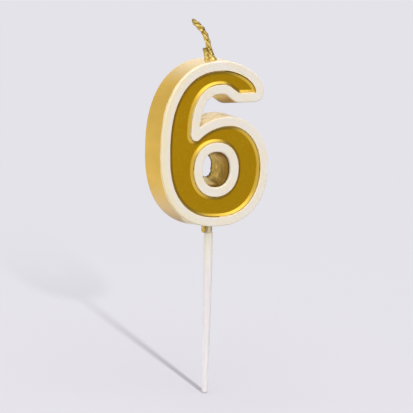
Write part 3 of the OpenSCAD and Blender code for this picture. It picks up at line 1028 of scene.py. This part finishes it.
wick_gold = wick_finish()
dress(wax_numeral(), wax_finish(), "wax", "wax_body")
dress(gold_face(), face_finish(), "face_gold", "face_lacquer")
dress(gold_side(), side_finish(), "side_gold", "side_lacquer")
dress(gold_counter(), counter_finish(), "counter_gold", "counter_lacquer")
for index, letter in enumerate("abc"):
    ply = strand(f"wick_ply_{index + 1}", WICK_ROUTE, PACKED_R, PACKED_RING, 120 * index, seed=index)
    dress(ply, wick_gold, "wick_gold", f"wick_ply_{letter}")
loose_ply = strand("wick_loose_ply", SHORT_ROUTE, SHORT_PLY_R, 0, 0, flare=0.22, seed=9)
dress(loose_ply, wick_gold, "wick_gold", "wick_short_ply")
dress(wick_collar(), wick_gold, "wick_gold")
dress(wick_stub(), wick_gold, "wick_gold")
dress(pick_stick(), pick_finish(), "pick_plastic", "pick")


# ---------------------------------------------------------------- camera, floor and light

BACKDROP = (0.776, 0.768, 0.814)

# The camera: angles in degrees, lens and sensor in millimetres, and the distances in metres.
CAMERA_LEFT = 27.8
CAMERA_UP = 8.04
CAMERA_ROLL = 1.34
CAMERA_LENS = 112
CAMERA_SENSOR = 36
CAMERA_DISTANCE = 0.550
AIM_RIGHT = -0.0003
AIM_UP = 0.00123

# The floor, in millimetres: how far its shade reaches, and where and how gently it rises behind.
FLOOR_HALF = 15000
SHADE_FADE = 146
RISE_START = 150
RISE_RUN = 300
RISE_R = 1300
RISE_STEPS = 30
FLOOR_PAINT = (0.342, 0.338, 0.360)
FLOOR_PAINT_BEHIND = (0.270, 0.267, 0.284)

# The light: a sun for the shadow, soft boxes and an even fill. Angles are in degrees.
SUN_RIGHT = -6.7
SUN_UP = 19.8
SUN_WIDTH = 2.6
SUN_POWER = 7.6
STUDIO = [
    # azimuth, elevation, half width, softness, brightness
    (-15, 72, 26, 26, 2.4),
    (0, 14, 10, 14, 1.7),
    (-66, 0, 24, 30, 0.91),
    (-152, 0, 26, 32, 0.59),
    (152, 14, 14, 24, 0.95),
    (28, -10, 16, 24, 0.30),
    (-22, -52, 16, 22, 0.9),
    (-140, -45, 22, 30, 0.25),
]
FILL = 0.33
LIGHT_TINT = (1.0, 0.985, 0.99)


def direction(azimuth, elevation):
    """Towards a point at that azimuth, 0 in front and 90 on the right, and elevation."""
    a, e = math.radians(azimuth), math.radians(elevation)
    return Vector((math.sin(a) * math.cos(e), -math.cos(a) * math.cos(e), math.sin(e)))


def aimed(name, data, back, location=Vector(), roll=0.0):
    """An object at location that looks against the direction back."""
    turn = (-back).to_track_quat("-Z", "Y").to_matrix() @ Matrix.Rotation(math.radians(roll), 3, "Z")
    made = bpy.data.objects.new(name, data)
    made.matrix_world = Matrix.Translation(location) @ turn.to_4x4()
    bpy.context.scene.collection.objects.link(made)
    return made


def make_camera():
    """The camera at the photograph's viewing angle, with its slight roll."""
    data = bpy.data.cameras.new("camera")
    data.lens = CAMERA_LENS
    data.sensor_width = CAMERA_SENSOR
    data.clip_start, data.clip_end = 0.01, 100
    back = direction(-CAMERA_LEFT, CAMERA_UP)
    level = back.cross(Vector((0, 0, -1))).normalized()
    turn = Matrix.Rotation(math.radians(CAMERA_ROLL), 3, back)
    right, up = turn @ level, turn @ back.cross(level)
    centre = (cad_box[0] + cad_box[1]) / 2
    location = centre + AIM_RIGHT * right + AIM_UP * up + CAMERA_DISTANCE * back
    bpy.context.scene.camera = aimed("camera", data, back, location, CAMERA_ROLL)


def floor_height(y):
    """The floor's height at depth y: level near the candle, rising gently behind it and level again."""
    return FLOOR_Z + min(max(0, y - RISE_START), RISE_RUN) ** 2 / (2 * RISE_R)


def make_floor():
    """A wide pale floor that takes a shadow near the pick and fades into the backdrop further off. Behind
    the candle it rises, as the bent paper of a small photo table does."""
    mesh = bpy.data.meshes.new("floor")
    rows = [-FLOOR_HALF] + spread(RISE_START, RISE_START + RISE_RUN, RISE_STEPS)
    rows += [RISE_START + RISE_RUN, FLOOR_HALF]
    points = [(x * MM, y * MM, floor_height(y) * MM) for y in rows for x in (-FLOOR_HALF, FLOOR_HALF)]
    mesh.from_pydata(points, [], [(k, k + 1, k + 3, k + 2) for k in range(0, 2 * len(rows) - 2, 2)])
    mesh.shade_smooth()
    floor = bpy.data.objects.new("floor", mesh)
    bpy.context.scene.collection.objects.link(floor)
    f = Finish("pale_floor")
    away = f.vector("LENGTH", f.vector("MULTIPLY", f.mm, (1, 1, 0)), result="Value")
    paint = f.mix(f.step(f.y, RISE_START, RISE_START + RISE_RUN), FLOOR_PAINT, FLOOR_PAINT_BEHIND)
    f.set(Base_Color=paint, Roughness=1.0, Specular_IOR_Level=0.0)
    glow = f.node("ShaderNodeEmission", Color=(*BACKDROP, 1), Strength=1.0)
    halvings = f.math("POWER", f.math("DIVIDE", away, SHADE_FADE), 2.0)
    blend = f.node("ShaderNodeMixShader", Fac=f.math("SUBTRACT", 1.0, f.math("POWER", 0.5, halvings)))
    f.tree.links.new(f.shader.outputs[0], blend.inputs[1])
    f.tree.links.new(glow.outputs[0], blend.inputs[2])
    f.tree.links.new(blend.outputs[0], f.tree.nodes["Material Output"].inputs["Surface"])
    floor.data.materials.append(f.material)
    floor.visible_glossy = False
    return floor


def make_studio():
    """A surround with the soft boxes and the fill; the camera itself sees the plain backdrop."""
    world = bpy.data.worlds.new("studio")
    world.use_nodes = True
    tree = world.node_tree
    new, link = tree.nodes.new, tree.links.new
    ray = new("ShaderNodeTexCoord").outputs["Generated"]
    total = None
    for azimuth, elevation, half, soft, bright in STUDIO:
        dot = new("ShaderNodeVectorMath")
        dot.operation = "DOT_PRODUCT"
        link(ray, dot.inputs[0])
        dot.inputs[1].default_value = direction(azimuth, elevation)
        fade = new("ShaderNodeMapRange")
        fade.interpolation_type = "SMOOTHSTEP"
        link(dot.outputs["Value"], fade.inputs[0])
        edges = (math.cos(math.radians(half + soft)), math.cos(math.radians(half)), 0, bright)
        for socket, value in zip(fade.inputs[1:], edges):
            socket.default_value = value
        adder = new("ShaderNodeMath")
        adder.operation = "ADD"
        link(fade.outputs[0], adder.inputs[0])
        if total:
            link(total, adder.inputs[1])
        else:
            adder.inputs[1].default_value = FILL
        total = adder.outputs[0]
    light = new("ShaderNodeBackground")
    light.inputs["Color"].default_value = (*LIGHT_TINT, 1)
    link(total, light.inputs["Strength"])
    plain = new("ShaderNodeBackground")
    plain.inputs["Color"].default_value = (*BACKDROP, 1)
    mix = new("ShaderNodeMixShader")
    link(new("ShaderNodeLightPath").outputs["Is Camera Ray"], mix.inputs[0])
    link(light.outputs[0], mix.inputs[1])
    link(plain.outputs[0], mix.inputs[2])
    link(mix.outputs[0], tree.nodes["World Output"].inputs["Surface"])
    bpy.context.scene.world = world


def make_sun(floor):
    """A low sun that draws the pick's shadow on the floor alone."""
    data = bpy.data.lights.new("shadow_sun", "SUN")
    data.energy = SUN_POWER
    data.angle = math.radians(SUN_WIDTH)
    sun = aimed("shadow_sun", data, direction(SUN_RIGHT, SUN_UP))
    shaded = bpy.data.collections.new("shaded_by_the_sun")
    shaded.objects.link(floor)
    sun.light_linking.receiver_collection = shaded


make_camera()
make_studio()
make_sun(make_floor())
bpy.context.scene.view_settings.view_transform = "Standard"
